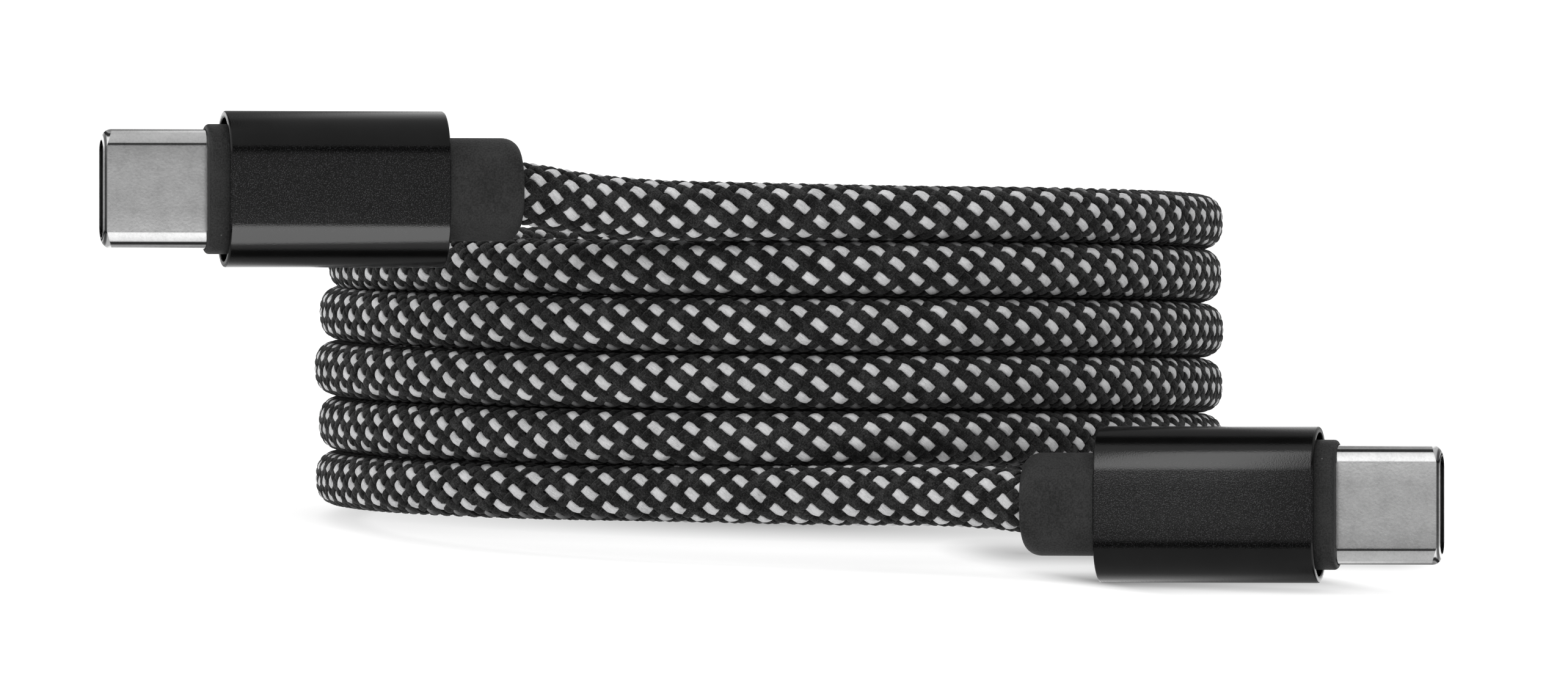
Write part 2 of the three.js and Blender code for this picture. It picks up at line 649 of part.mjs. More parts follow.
// Stands the assembly on its seats, with the middle of the two plugs over the origin.
function standOnSeats(assembly, plugs) {
  const seats = findSeats(worldPoints(assembly), BALANCE);
  const plane = new THREE.Plane().setFromCoplanarPoints(...seats);
  assembly.quaternion.setFromUnitVectors(plane.normal, new THREE.Vector3(0, 0, 1));
  assembly.updateMatrixWorld(true);
  const box = new THREE.Box3();
  plugs.forEach((plug) => box.expandByObject(plug, true));
  const middle = box.getCenter(new THREE.Vector3());
  assembly.position.set(-middle.x, -middle.y, -box.min.z);
  return plane.normal;
}

const coilGeometry = tubeGeometry(coilStations(), coilOutline());
const coil = makeMesh('cable_coil', coilGeometry, BRAIDED_FABRIC);
const leadA = leadStations(FIRST, -1, LEAD_A_ROUTE);
const leadB = leadStations(LAST, 1, LEAD_B_ROUTE);
const chip = makeMesh('marker_chip_a', chipGeometry(), BLACK_MOULDED);
const plugA = placePlug(makePlug('a').add(chip), FIRST, -1, LEAD_A_REACH, PLUG_A_RISE);
const plugB = placePlug(makePlug('b'), LAST, 1, LEAD_B_REACH, -PLUG_B_DROP);

const assembly = new THREE.Group();
assembly.add(coil);
assembly.add(makeMesh('cable_lead_a', tubeGeometry(leadA.stations, leadOutline()), BRAIDED_FABRIC));
assembly.add(makeMesh('cable_lead_b', tubeGeometry(leadB.stations, leadOutline()), BRAIDED_FABRIC));
assembly.add(plugA);
assembly.add(plugB);
const upright = standOnSeats(assembly, [plugA, plugB]);

const gap = leastGap(coilGeometry, coilOutline().length);
const turnLength = Math.hypot(2 * Math.PI * COIL_RADIUS, TURN_PITCH);
const woundLength = turnLength * (FULL_TURNS - LEAVE_ANGLE / 180) + 2 * COIL_CORE_WIDE;
const cableLength = woundLength + leadA.length + leadB.length;
console.log(`least gap of the coil to itself: ${gap.toFixed(3)} mm (over ${LEAST_GAP_ALLOWED} wanted)`);
console.log(`cable between the plugs: ${cableLength.toFixed(1)} mm`);
console.log(`coil axis leans back, seen from above: ${upright.toArray().map((n) => n.toFixed(5))}`);
console.log(`coil centre stands at: ${assembly.position.toArray().map((n) => n.toFixed(3))}`);

const chargingCable = new THREE.Group();
chargingCable.add(assembly);

export default chargingCable;
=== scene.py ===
"""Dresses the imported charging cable: the braid, both plugs, their materials, the light and the camera.

Lengths in the tables are millimetres, but for those of materials, the floor and the lights, which are metres.
The coil's own frame has its axis along Z, its front towards -Y and its middle at the origin. A plug's own
frame has x running back from its tip, y through it and z across its width; -y is the side that the camera sees.
"""

import json
import math

import bpy
import numpy as np
from mathutils import Matrix, Quaternion, Vector


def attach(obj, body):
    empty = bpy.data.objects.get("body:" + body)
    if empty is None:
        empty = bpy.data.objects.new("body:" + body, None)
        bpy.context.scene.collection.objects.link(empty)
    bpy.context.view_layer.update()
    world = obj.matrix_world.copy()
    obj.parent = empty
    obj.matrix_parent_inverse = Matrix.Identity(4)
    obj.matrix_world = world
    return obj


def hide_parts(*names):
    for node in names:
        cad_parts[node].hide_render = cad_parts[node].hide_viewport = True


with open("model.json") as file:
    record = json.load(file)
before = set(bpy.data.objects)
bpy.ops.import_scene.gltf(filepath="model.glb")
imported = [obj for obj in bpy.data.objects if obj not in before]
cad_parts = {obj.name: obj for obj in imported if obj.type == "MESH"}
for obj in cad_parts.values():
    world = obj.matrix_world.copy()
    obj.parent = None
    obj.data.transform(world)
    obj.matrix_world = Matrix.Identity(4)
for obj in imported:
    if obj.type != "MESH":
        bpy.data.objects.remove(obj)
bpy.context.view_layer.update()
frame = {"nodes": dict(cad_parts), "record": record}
MM = 0.001
BODY = "root"
CABLE_NODES = ("cable_coil", "cable_lead_a", "cable_lead_b")

# ---- Where the coil and the plugs lie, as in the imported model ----
TURN_PITCH = 3.94
COIL_RADIUS = 30.3
LEAVE_ANGLE = 11.5
FULL_TURNS = 5
LEAD_A_REACH = 23.73
LEAD_B_REACH = 24.24
PLUG_A_RISE = 1.32
PLUG_B_DROP = 0.42
PLUG_LEVEL = 0.6
LEAD_A_ROUTE = [[0, 0], [5, 0], [9.2, 0], [11.2, 0], [13, 0.01], [14.75, 0.06], [16.5, 0.17], [18.2, 0.3],
                [19.9, 0.5], [21.65, 0.78], [22.4, 0.92], [23.3, 1.04], [24.2, 1.15], [25.2, 1.23], [26.4, 1.29]]
LEAD_B_ROUTE = [[0, 0], [5, 0], [10.2, 0], [13.25, 0.05], [16.3, 0.1], [18.8, 0.11], [20.85, 0.05],
                [22.15, -0.03], [22.95, -0.1], [23.85, -0.2], [24.7, -0.28], [25.7, -0.35], [26.8, -0.39]]
LEAD_STEP = 0.05
INSIDE = 2.4  # how far the braid runs on inside each strain relief
COIL_PLACE = Vector((-0.1783902, 36.7601081, 12.5607666)) * MM
COIL_TURN = Quaternion((0.99913466, -0.03717453, -0.01865438, 0.0))
COIL = Matrix.LocRotScale(COIL_PLACE, COIL_TURN, None)

# ---- Camera, before all else, in the coil's frame ----
CAMERA_AWAY = 1030.0
CAMERA_RIGHT, CAMERA_UP = 1.096, 0.614
VIEW_WIDE = 112.59  # what the picture shows across it at the coil's middle
SENSOR_WIDE = 36.0


def make_camera():
    roll = math.radians(PLUG_LEVEL)
    right = Vector((math.cos(roll), 0, -math.sin(roll)))
    up = Vector((math.sin(roll), 0, math.cos(roll)))
    back = Vector((0, -1, 0))
    place = (right * CAMERA_RIGHT + up * CAMERA_UP + back * CAMERA_AWAY) * MM
    turn = Matrix((right, up, back)).transposed().to_4x4()
    data = bpy.data.cameras.new("camera")
    data.sensor_fit = "HORIZONTAL"
    data.sensor_width = SENSOR_WIDE
    data.lens = SENSOR_WIDE * CAMERA_AWAY / VIEW_WIDE
    data.clip_end = 100
    camera = bpy.data.objects.new("camera", data)
    bpy.context.scene.collection.objects.link(camera)
    camera.matrix_world = COIL @ Matrix.Translation(place) @ turn
    bpy.context.scene.camera = camera


make_camera()


# ---- Small helpers ----
def new_object(name, verts, faces, uv_layers=(), sharp=None):
    """A smooth mesh object from arrays, in metres. Each UV layer is a name and one pair per face corner."""
    mesh = bpy.data.meshes.new(name)
    verts = np.asarray(verts, np.float32)
    faces = np.asarray(faces, np.int32)
    size = faces.shape[1]
    mesh.vertices.add(len(verts))
    mesh.vertices.foreach_set("co", verts.ravel())
    mesh.loops.add(faces.size)
    mesh.loops.foreach_set("vertex_index", faces.ravel())
    mesh.polygons.add(len(faces))
    mesh.polygons.foreach_set("loop_start", np.arange(0, faces.size, size, dtype=np.int32))
    mesh.polygons.foreach_set("loop_total", np.full(len(faces), size, np.int32))
    mesh.polygons.foreach_set("use_smooth", np.ones(len(faces), bool))
    mesh.update(calc_edges=True)
    for layer, values in uv_layers:
        uvs = mesh.uv_layers.new(name=layer)
        uvs.data.foreach_set("uv", np.asarray(values, np.float32).ravel())
    if sharp is not None:
        mesh.set_sharp_from_angle(angle=math.radians(sharp))
    made = bpy.data.objects.new(name, mesh)
    bpy.context.scene.collection.objects.link(made)
    return made


def dress(piece, material, slot_name, *nodes):
    """Gives a piece its material and body, and puts it in the place of CAD nodes, which it hides. The slot name is
    not used.
    """
    piece.data.materials.append(material)
    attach(piece, BODY)
    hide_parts(*nodes)
    return piece


def ring_faces(count, sides, first=0, closed=False):
    """Faces between rings of points, each with its points after those of the ring before."""
    k, j = np.arange(count if closed else count - 1)[:, None], np.arange(sides)[None, :]
    here, there = first + k * sides, first + (k + 1) % count * sides
    after = (j + 1) % sides
    return np.stack([here + j, here + after, there + after, there + j], -1).reshape(-1, 4)


def spline(knots):
    """A natural cubic spline through [x, y] knots, as a function of an array."""
    x, y = np.array(knots, float).T
    n = len(x)
    h = np.diff(x)
    matrix, right = np.eye(n), np.zeros(n)
    for i in range(1, n - 1):
        matrix[i, i - 1:i + 2] = h[i - 1], 2 * (h[i - 1] + h[i]), h[i]
        right[i] = 6 * ((y[i + 1] - y[i]) / h[i] - (y[i] - y[i - 1]) / h[i - 1])
    bend = np.linalg.solve(matrix, right)

    def value(t):
        t = np.asarray(t, float)
        k = np.clip(np.searchsorted(x, t) - 1, 0, n - 2)
        a, b, w = x[k + 1] - t, t - x[k], h[k]
        return (bend[k] * a**3 + bend[k + 1] * b**3) / (6 * w) + (
            y[k] / w - bend[k] * w / 6) * a + (y[k + 1] / w - bend[k + 1] * w / 6) * b

    return value


def unit(v):
    return v / np.linalg.norm(v, axis=-1, keepdims=True)


def travelled(points):
    """Length along a line of points, at each of them."""
    return np.concatenate([[0], np.cumsum(np.linalg.norm(np.diff(points, axis=0), axis=1))])


def to_world(points, matrix):
    m = np.array(matrix, float)
    return points * MM @ m[:3, :3].T + m[:3, 3]


# ---- The cable's middle line, from inside plug A to inside plug B, in the coil's frame ----
def turn_station(degrees):
    """Middle and direction of true turns, at degrees round from the front of the first."""
    angle = np.radians(degrees)
    height = TURN_PITCH * (FULL_TURNS / 2 - np.asarray(degrees, float) / 360)
    at = np.stack([COIL_RADIUS * np.sin(angle), -COIL_RADIUS * np.cos(angle), height], -1)
    fall = np.full(np.shape(angle), -TURN_PITCH / (2 * math.pi * COIL_RADIUS))
    return at, unit(np.stack([np.cos(angle), np.sin(angle), fall], -1))


def lead_points(degrees, sign, route, far):
    """A lead straight off the turns, apart from the rises that its route gives for distances along it."""
    at, along = turn_station(degrees)
    steps = np.arange(LEAD_STEP, far, LEAD_STEP)
    points = at + along * (sign * steps[:, None])
    points[:, 2] += spline(route)(steps)
    return points


FIRST_ANGLE, LAST_ANGLE = LEAVE_ANGLE, 360 * FULL_TURNS - LEAVE_ANGLE
# The turns don't lie quite true on each other: [degrees round, how far a turn stands out there].
TURNS_OUT = [[0, 0], [90, 0.2], [180, 0], [270, -0.95], [360, -0.1], [450, 0.05], [540, 0], [630, -0.3],
             [720, 0], [810, 0.15], [900, 0.05], [990, 0.1], [1080, 0], [1170, 0.05], [1260, 0], [1350, -0.15],
             [1440, 0], [1530, 0.05], [1620, 0], [1710, 0.1], [1800, 0]]
# How far every turn rises at [degrees from its front], and the share of it at [degrees round].
TURN_RISE = [[-180, 0], [-90, 0.3], [-70, 0.2], [-50, 0.08], [-25, -0.02], [0, 0], [25, 0.1], [50, 0.18],
             [90, 0.3], [180, 0]]
RISE_SHARE = [[0, 0.6], [90, 0.6], [290, -0.4], [380, 1], [1800, 1]]
FADE_DEGREES = 30  # over which the two begin and end, so that the leads run on smoothly
turn_degrees = np.linspace(FIRST_ANGLE, LAST_ANGLE, 20001)


def turns_line():
    points = turn_station(turn_degrees)[0]
    fade = np.clip(np.minimum(turn_degrees - FIRST_ANGLE, LAST_ANGLE - turn_degrees) / FADE_DEGREES, 0, 1)
    fade = fade * fade * (3 - 2 * fade)
    points[:, :2] *= (1 + fade * spline(TURNS_OUT)(turn_degrees) / COIL_RADIUS)[:, None]
    rise = spline(TURN_RISE)((turn_degrees + 180) % 360 - 180)
    points[:, 2] += fade * rise * np.interp(turn_degrees, *np.array(RISE_SHARE).T)
    return points


turn_points = turns_line()
lead_a = lead_points(FIRST_ANGLE, -1, LEAD_A_ROUTE, LEAD_A_REACH + INSIDE)[::-1]
lead_b = lead_points(LAST_ANGLE, 1, LEAD_B_ROUTE, LEAD_B_REACH + INSIDE)
line = np.concatenate([lead_a, turn_points, lead_b])
line_s = travelled(line)
turns_s = line_s[len(lead_a):len(lead_a) + len(turn_points)]
line_end = line_s[-1]
plug_a_s, plug_b_s = INSIDE, line_end - INSIDE
line_along = unit(np.gradient(line, line_s, axis=0))


def at_length(s, values):
    return np.stack([np.interp(s, line_s, values[:, k]) for k in range(3)], -1)


def frames(s):
    """Middle point, outward and upward directions of the cable at lengths s."""
    along = unit(at_length(s, line_along))
    out = unit(np.cross(along, [0.0, 0.0, 1.0]))
    return at_length(s, line), out, np.cross(out, along)


def length_round(degrees):
    """Length along the cable at degrees round, which go on past the turns as if there were more of them."""
    beyond = (degrees - np.clip(degrees, FIRST_ANGLE, LAST_ANGLE)) * math.pi / 180 * COIL_RADIUS
    return np.interp(degrees, turn_degrees, turns_s) + beyond


# ---- The cable's section: pressed flat where the turns lie on each other ----
CABLE_OUT = 2.2  # half its width, and half its height where it isn't pressed
CABLE_UP = 1.97  # half its height where it is pressed
PRESSED_POWER = 2.7
PRESSED_FROM, PRESSED_BY = 3, 4  # the pressing starts so far off the plugs, and is full so far into the turns


def even_steps():
    """Angles of the pressed section against angles that part its outline evenly, over a quarter of it."""
    angle = np.linspace(0, math.pi / 2, 500)
    wide = CABLE_OUT * (1 - np.sin(angle) ** PRESSED_POWER).clip(0) ** (1 / PRESSED_POWER)
    travel = np.concatenate([[0], np.cumsum(np.hypot(np.diff(wide), np.diff(CABLE_UP * np.sin(angle))))])
    return travel / travel[-1] * math.pi / 2, angle


EVEN = even_steps()


def pressed_at(s):
    """How far the cable is pressed at lengths s: not at all by the plugs, fully in the turns."""
    start, end = plug_a_s + PRESSED_FROM, plug_b_s - PRESSED_FROM
    return np.interp(s, [start, turns_s[0] + PRESSED_BY, turns_s[-1] - PRESSED_BY, end], [0, 1, 1, 0])


def surface(s, phi, depth):
    """A point [out, up] at a depth under the braid's outside, and the outside's normal there."""
    pressed = pressed_at(s)
    half_up = CABLE_OUT + (CABLE_UP - CABLE_OUT) * pressed
    power = 2 + (PRESSED_POWER - 2) * pressed
    turned = np.arcsin(np.abs(np.sin(phi)))
    turned = turned + (np.interp(turned, *EVEN) - turned) * pressed
    high = np.sign(np.sin(phi)) * np.sin(turned)
    wide = np.sign(np.cos(phi)) * (1 - np.abs(high) ** power).clip(0) ** (1 / power)
    normal_out = np.sign(wide) * np.abs(wide) ** (power - 1) / CABLE_OUT
    normal_up = np.sign(high) * np.abs(high) ** (power - 1) / half_up
    size = np.hypot(normal_out, normal_up)
    normal_out, normal_up = normal_out / size, normal_up / size
    return CABLE_OUT * wide - depth * normal_out, half_up * high - depth * normal_up, normal_out, normal_up


# ---- The braid: 24 strands, over one and under one ----
CARRIERS = 12  # in each direction
STRANDS_PER_PIECE = 3
STRAND_THICK = 0.26
# A strand's section, in half widths and half thicknesses.
STRAND_SHAPE = [(1, -0.25), (0.62, 0.82), (0, 1.0), (-0.62, 0.82), (-1, -0.25), (0, -1)]
WAVE = 0.13  # how far a strand rises and sinks at the crossings
SKEW = 0.29  # crossings lag behind on the lower side of the cable
WANDER = 0.018  # radians that a strand strays round the cable
SWELL = 0.035  # share of its width by which a strand swells and thins
KNOTS = 700  # random values along a strand for each of these
RINGS_PER_LEAD = 72
LIGHT_WIDE = 0.7
DARK_WIDE = 0.76  # of the black strands beside the light ones
CROSS_WIDE = 0.72  # of the black strands that cross them
PATCHES_PER_LEAD = 6
# Light patches of the middle row passed since the first front, at [degrees round].
PATCHES = [[-52, -10.87], [-42, -8.76], [-32, -6.61], [-22, -4.4], [-11, -2.04], [0, 0.2], [15, 3.37],
           [30, 6.68], [50, 11.0], [70, 15.36], [290, 65.3], [310, 69.57], [335, 74.9], [360, 80.34],
           [385, 85.91], [410, 91.38], [430, 95.77], [650, 145.41], [670, 149.74], [695, 155.04], [720, 160.58],
           [745, 166.15], [770, 171.68], [790, 176.18], [1010, 226.53], [1030, 230.73], [1055, 236.13],
           [1080, 241.62], [1105, 247.13], [1130, 252.67], [1150, 257.18], [1370, 307.27], [1390, 311.5],
           [1415, 317.07], [1440, 322.59], [1465, 328.17], [1490, 333.75], [1510, 338.16], [1730, 388.08],
           [1750, 392.82], [1775, 397.57], [1800, 403.13], [1811, 405.42], [1822, 407.78], [1832, 409.92],
           [1842, 412.12]]
# Degrees that the middle row lies above the cable's middle, at [degrees round].
TWIST = [[-52, 2], [-30, 2], [0, 10], [360, 10], [720, 0], [1080, -5], [1440, -11], [1800, 0], [1832, -3]]

leads_at = spline([(length_round(degrees), patches / PATCHES_PER_LEAD) for degrees, patches in PATCHES])
twist_s, twist_degrees = np.array([(length_round(degrees), twist) for degrees, twist in TWIST]).T
fine_s = np.linspace(0, line_end, 40001)
fine_leads = leads_at(fine_s)
first_ring = math.ceil(fine_leads[0] * RINGS_PER_LEAD)
last_ring = math.floor(fine_leads[-1] * RINGS_PER_LEAD)
ring_leads = np.arange(first_ring, last_ring + 1) / RINGS_PER_LEAD
ring_s = np.interp(ring_leads, fine_leads, fine_s)
ring_twist = np.radians(np.interp(ring_s, twist_s, twist_degrees))


def strand(number, sense, wide):
    """Rings of points of one strand, its length and its height on the cable (0 to 1) at each of them.

    Sense -1 falls to the right on the front side, 1 rises.
    """
    rng = np.random.default_rng(number + 100 * (sense + 2))
    phi = 2 * math.pi * (number / CARRIERS + sense * ring_leads) + ring_twist
    share, knots = np.linspace(0, 1, len(phi)), np.linspace(0, 1, KNOTS)
    wander = np.interp(share, knots, rng.normal(0, WANDER, KNOTS))
    swell = np.interp(share, knots, rng.normal(0, SWELL, KNOTS))
    phi = phi + wander
    s = np.clip(ring_s - SKEW * np.sin(phi), 0, line_end)
    middle, out, up = frames(s)
    rise = -sense * WAVE * np.cos(2 * math.pi * CARRIERS * ring_leads)
    at_out, at_up, normal_out, normal_up = surface(s, phi, STRAND_THICK / 2 + WAVE - rise)
    point = middle + out * at_out[:, None] + up * at_up[:, None]
    normal = out * normal_out[:, None] + up * normal_up[:, None]
    along = unit(np.gradient(point, axis=0))
    across = unit(np.cross(along, normal))
    normal = np.cross(across, along)
    half_wide = wide / 2 * (1 + swell)
    half_thick = STRAND_THICK / 2
    rings = [point + across * (half_wide * a)[:, None] + normal * (half_thick * b) for a, b in STRAND_SHAPE]
    turned = np.interp(np.arcsin(np.abs(np.sin(phi))), *EVEN)
    height = 0.5 + 0.5 * np.sign(np.sin(phi)) * np.sin(turned) * pressed_at(s)
    return np.stack(rings, 1), travelled(point), height


SEGMENTS_PER_ROW = 309  # of the bake map
ROW_MARGIN = 0.06
FIBRE_SIDE = 0.25  # width of a strand's side in the map of fibres
STRAND_SHIFT, SENSE_SHIFT = 400, 1300  # along that map, so that the strands don't have the same streaks


def corner_pairs(along, across):
    """At the corners of a strand's faces: a value that changes along it, and one that changes across it."""
    near, far, low, high = np.broadcast_arrays(*along, *across)
    return np.stack([near, low, near, high, far, high, far, low], -1).reshape(-1, 2)


def strand_piece(name, strands, slot_name, material):
    """One object of several strands, with a bake map of long rows, a map of fibres and one of heights."""
    sides = len(STRAND_SHAPE)
    segments = len(ring_s) - 1
    rows = math.ceil(len(strands) * segments / SEGMENTS_PER_ROW)
    k, j = np.arange(segments)[:, None], np.arange(sides)[None, :]
    verts, faces, bake, fibres, heights = [], [], [], [], []
    for index, (number, sense, wide) in enumerate(strands):
        rings, travel, height = strand(number, sense, wide)
        verts.append(to_world(rings.reshape(-1, 3), COIL))
        faces.append(ring_faces(segments + 1, sides, index * (segments + 1) * sides))
        row, column = np.divmod(index * segments + k, SEGMENTS_PER_ROW)
        ends = column / SEGMENTS_PER_ROW, (column + 1) / SEGMENTS_PER_ROW
        edges = [(row + ROW_MARGIN + (1 - 2 * ROW_MARGIN) * side / sides) / rows for side in (j, j + 1)]
        bake.append(corner_pairs(ends, edges))
        travel = travel[:, None] + STRAND_SHIFT * index + SENSE_SHIFT * (sense > 0)
        fibres.append(corner_pairs((travel[:-1], travel[1:]), (FIBRE_SIDE * j, FIBRE_SIDE * (j + 1)))[:, ::-1])
        height = height[:, None]
        heights.append(corner_pairs((height[:-1], height[1:]), edges))
    maps = [("OFBake", bake), ("fibres", fibres), ("height", heights)]
    made = new_object(name, np.concatenate(verts), np.concatenate(faces),
                      [(layer, np.concatenate(values)) for layer, values in maps])
    return dress(made, material, slot_name, *CABLE_NODES)


# ---- Material helpers ----
def new_material(name, **values):
    """A Principled material with constants on its own sockets. Returns it with its nodes and its shader."""
    material = bpy.data.materials.new(name)
    material.use_nodes = True
    tree = material.node_tree
    shader = tree.nodes["Principled BSDF"]
    for socket, value in values.items():
        shader.inputs[socket.replace("_", " ")].default_value = value
    return material, tree, shader


def node(tree, kind, inputs=None, **settings):
    """A node with its settings, and with a link or a constant on each of the inputs."""
    made = tree.nodes.new(kind)
    for key, value in settings.items():
        setattr(made, key, value)
    for socket, value in (inputs or {}).items():
        if isinstance(value, bpy.types.NodeSocket):
            tree.links.new(value, made.inputs[socket])
        else:
            made.inputs[socket].default_value = value
    return made


def link(tree, shader, **sockets):
    for socket, value in sockets.items():
        tree.links.new(value, shader.inputs[socket.replace("_", " ")])


def ramp(tree, factor, stops):
    """Colours or greys between stops, each a place from 0 to 1 and its colour."""
    made = node(tree, "ShaderNodeValToRGB", {"Fac": factor})
    elements = made.color_ramp.elements
    while len(elements) < len(stops):
        elements.new(0.5)
    for element, (place, colour) in zip(elements, stops):
        element.position = place
        element.color = (*colour, 1) if isinstance(colour, tuple) else (colour, colour, colour, 1)
    return made.outputs["Color"]


def noise(tree, vector, scale, detail=2.0, roughness=0.5):
    """Soft noise from 0 to 1. For a place in metres, its scale is in waves to the metre."""
    inputs = {"Vector": vector, "Scale": scale, "Detail": detail, "Roughness": roughness}
    return node(tree, "ShaderNodeTexNoise", inputs).outputs["Fac"]


def bump(tree, height, distance, strength=1.0, normal=None):
    """Relief of a height from 0 to 1 over a distance in metres, on top of another normal if there is one."""
    inputs = {"Height": height, "Distance": distance, "Strength": strength}
    if normal is not None:
        inputs["Normal"] = normal
    return node(tree, "ShaderNodeBump", inputs).outputs["Normal"]


def maths(tree, operation, *values):
    return node(tree, "ShaderNodeMath", dict(enumerate(values)), operation=operation).outputs[0]


def vector_maths(tree, operation, *values):
    made = node(tree, "ShaderNodeVectorMath", dict(enumerate(values)), operation=operation)
    return made.outputs["Value" if operation in ("LENGTH", "DOT_PRODUCT") else "Vector"]


def ranged(tree, value, start=(0.0, 1.0), end=(0.0, 1.0)):
    """A value moved from its range at the start to another at the end, and held inside it."""
    inputs = {"Value": value, "From Min": start[0], "From Max": start[1], "To Min": end[0], "To Max": end[1]}
    return node(tree, "ShaderNodeMapRange", inputs).outputs[0]


def mixed(tree, share, first, second, data_type="RGBA", blend_type="MIX"):
    inputs = {"Factor": share, "A": first, "B": second}
    made = node(tree, "ShaderNodeMix", inputs, data_type=data_type, blend_type=blend_type)
    return made.outputs["Result"]


def multiplied(tree, first, second):
    return mixed(tree, 1.0, first, second, blend_type="MULTIPLY")


def split(tree, vector):
    return node(tree, "ShaderNodeSeparateXYZ", {"Vector": vector}).outputs


def object_place(tree):
    return node(tree, "ShaderNodeTexCoord").outputs["Object"]


def uv_map(tree, name):
    return node(tree, "ShaderNodeUVMap", uv_map=name).outputs["UV"]


# ---- The cable's materials ----
# Painted shade: the braid's colour darkens in the clefts between the turns, where shade falls: [place from the
# underside to the top, share of its colour].
PAINTED_CLEFT_SHADE = [(0.0, 0.05), (0.02, 0.1), (0.06, 0.45), (0.12, 1.0), (0.93, 1.0), (0.965, 0.55), (1.0, 0.05)]
STREAKS = (22, 1.6, 1)  # how fine the streaks are across a strand and along it


def fibre_material(name, stops, sheen, streak_share, gloss):
    """Spun filaments: streaks along the strand mixed with felted fluff, over a slower change of tone, with painted
    shade in the clefts between the turns.
    """
    material, tree, shader = new_material(name, Roughness=0.8, Specular_IOR_Level=gloss, Sheen_Weight=sheen,
                                          Sheen_Roughness=0.5)
    fibres = node(tree, "ShaderNodeMapping", {"Vector": uv_map(tree, "fibres"), "Scale": STREAKS})
    place = object_place(tree)
    streaks = noise(tree, fibres.outputs["Vector"], 1.0, detail=3.0, roughness=0.6)
    felt = noise(tree, place, 9000.0, roughness=0.7)
    slow = noise(tree, place, 900.0)
    fine = mixed(tree, streak_share, felt, streaks, data_type="FLOAT")
    tone = maths(tree, "MULTIPLY_ADD", slow, 0.3, maths(tree, "MULTIPLY", fine, 0.7))
    # The strand's height on the cable picks out the clefts, where its colour is darkened as painted shade.
    height = split(tree, uv_map(tree, "height"))["X"]
    link(tree, shader, Base_Color=multiplied(tree, ramp(tree, tone, stops), ramp(tree, height, PAINTED_CLEFT_SHADE)),
         Normal=bump(tree, streaks, 0.00005, streak_share, bump(tree, felt, 0.00005, 0.9)))
    return material


def core_material():
    material, tree, shader = new_material("braid_core", Roughness=0.9)
    tone = noise(tree, object_place(tree), 3000.0)
    link(tree, shader, Base_Color=ramp(tree, tone, [(0.3, 0.001), (0.7, 0.005)]))
    return material


braid_core = core_material()
braid_dark = fibre_material("braid_dark", [(0.42, 0.001), (0.5, 0.011), (0.58, 0.03), (0.7, 0.065)],
                            sheen=0.07, streak_share=0.35, gloss=0.12)
braid_light = fibre_material("braid_light", [(0.32, 0.24), (0.5, (0.5, 0.5, 0.505)), (0.66, 0.65)],
                             sheen=0.0, streak_share=0.65, gloss=0.2)

# ---- The cable's pieces ----
CORE_STEP = 0.8
CORE_SIDES = 16
CORE_DEPTH = 2 * WAVE + STRAND_THICK * 0.75
CORE_FADE = 10  # degrees over which it starts and stops to fill the clefts


def make_core():
    """The dark inside that shows in the gaps between the strands, as one tube.

    Where another turn lies against it, it fills the cleft, so that no light comes through.
    """
    s = np.arange(0, line_end, CORE_STEP)
    middle, out, up = frames(s)
    degrees = np.interp(s, turns_s, turn_degrees)
    last_front = 360 * FULL_TURNS
    turn_above = np.interp(degrees, [360, 360 + CORE_FADE], [0, 1]) * pressed_at(s)
    turn_below = np.interp(degrees, [last_front - 360 - CORE_FADE, last_front - 360], [1, 0]) * pressed_at(s)
    rings = []
    for k in range(CORE_SIDES):
        phi = 2 * math.pi * k / CORE_SIDES
        filled = (turn_above if k < CORE_SIDES / 2 else turn_below) * abs(math.sin(phi)) ** 8
        at_out, at_up, _, _ = surface(s, np.full(len(s), phi), CORE_DEPTH * (1 - filled))
        rings.append(middle + out * at_out[:, None] + up * at_up[:, None])
    verts = to_world(np.stack(rings, 1).reshape(-1, 3), COIL)
    made = new_object("cable_core", verts, ring_faces(len(s), CORE_SIDES))
    return dress(made, braid_core, "braid_dark", *CABLE_NODES)


core = make_core()
# Slot, number of its first piece, material, strands, sense and width.
BRAID = [("braid_light", 1, braid_light, range(0, CARRIERS, 2), -1, LIGHT_WIDE),
         ("braid_dark", 1, braid_dark, range(1, CARRIERS, 2), -1, DARK_WIDE),
         ("braid_dark", 3, braid_dark, range(CARRIERS), 1, CROSS_WIDE)]
for slot_name, first, material, numbers, sense, wide in BRAID:
    for part in range(len(numbers) // STRANDS_PER_PIECE):
        chosen = numbers[STRANDS_PER_PIECE * part:STRANDS_PER_PIECE * (part + 1)]
        strands = [(number, sense, wide) for number in chosen]
        strand_piece(f"{slot_name}_{first + part}", strands, slot_name, material)

# ---- The plugs ----
FIT = 0.05
SHELL_WIDE, SHELL_THICK, SHELL_WALL = 8.25, 2.4, 0.3
SHELL_OUT, SHELL_SEATED = 7.23, 3.45
LIP_DEEP, LIP_FLAT_DEEP = 0.68, 0.24  # how far its mouth's rounding reaches back: at the ends, on the flats
LIP_WIDE, LIP_THICK = 0.75, 0.3  # how far it reaches in across and through the plug
LIP_INNER_SHARE, LIP_INNER_GAP = 0.2, 0.1  # share of that depth at the inner edge, and length behind it to the bore
COLLAR_WIDE, COLLAR_THICK, COLLAR_EDGE, COLLAR_OUT, COLLAR_LENGTH = 9.0, 4.7, 0.3, 1.32, 2.0
SLEEVE_WIDE, SLEEVE_THICK, SLEEVE_WALL, SLEEVE_LENGTH = 10.83, 6.2, 0.45, 15.42
SLEEVE_EDGE, SLEEVE_MOUTH_EDGE = 0.14, 0.06
SLEEVE_FRONT = SHELL_OUT + COLLAR_OUT
SLEEVE_REAR = SLEEVE_FRONT + SLEEVE_LENGTH
RELIEF_WIDE, RELIEF_THICK, RELIEF_CORNER, RELIEF_OUT = 7.15, 5.2, 2.2, 5.31
RELIEF_ROUND = (1.3, 1.12, 0.3)  # rounding of the rear edge: along, across and through the plug
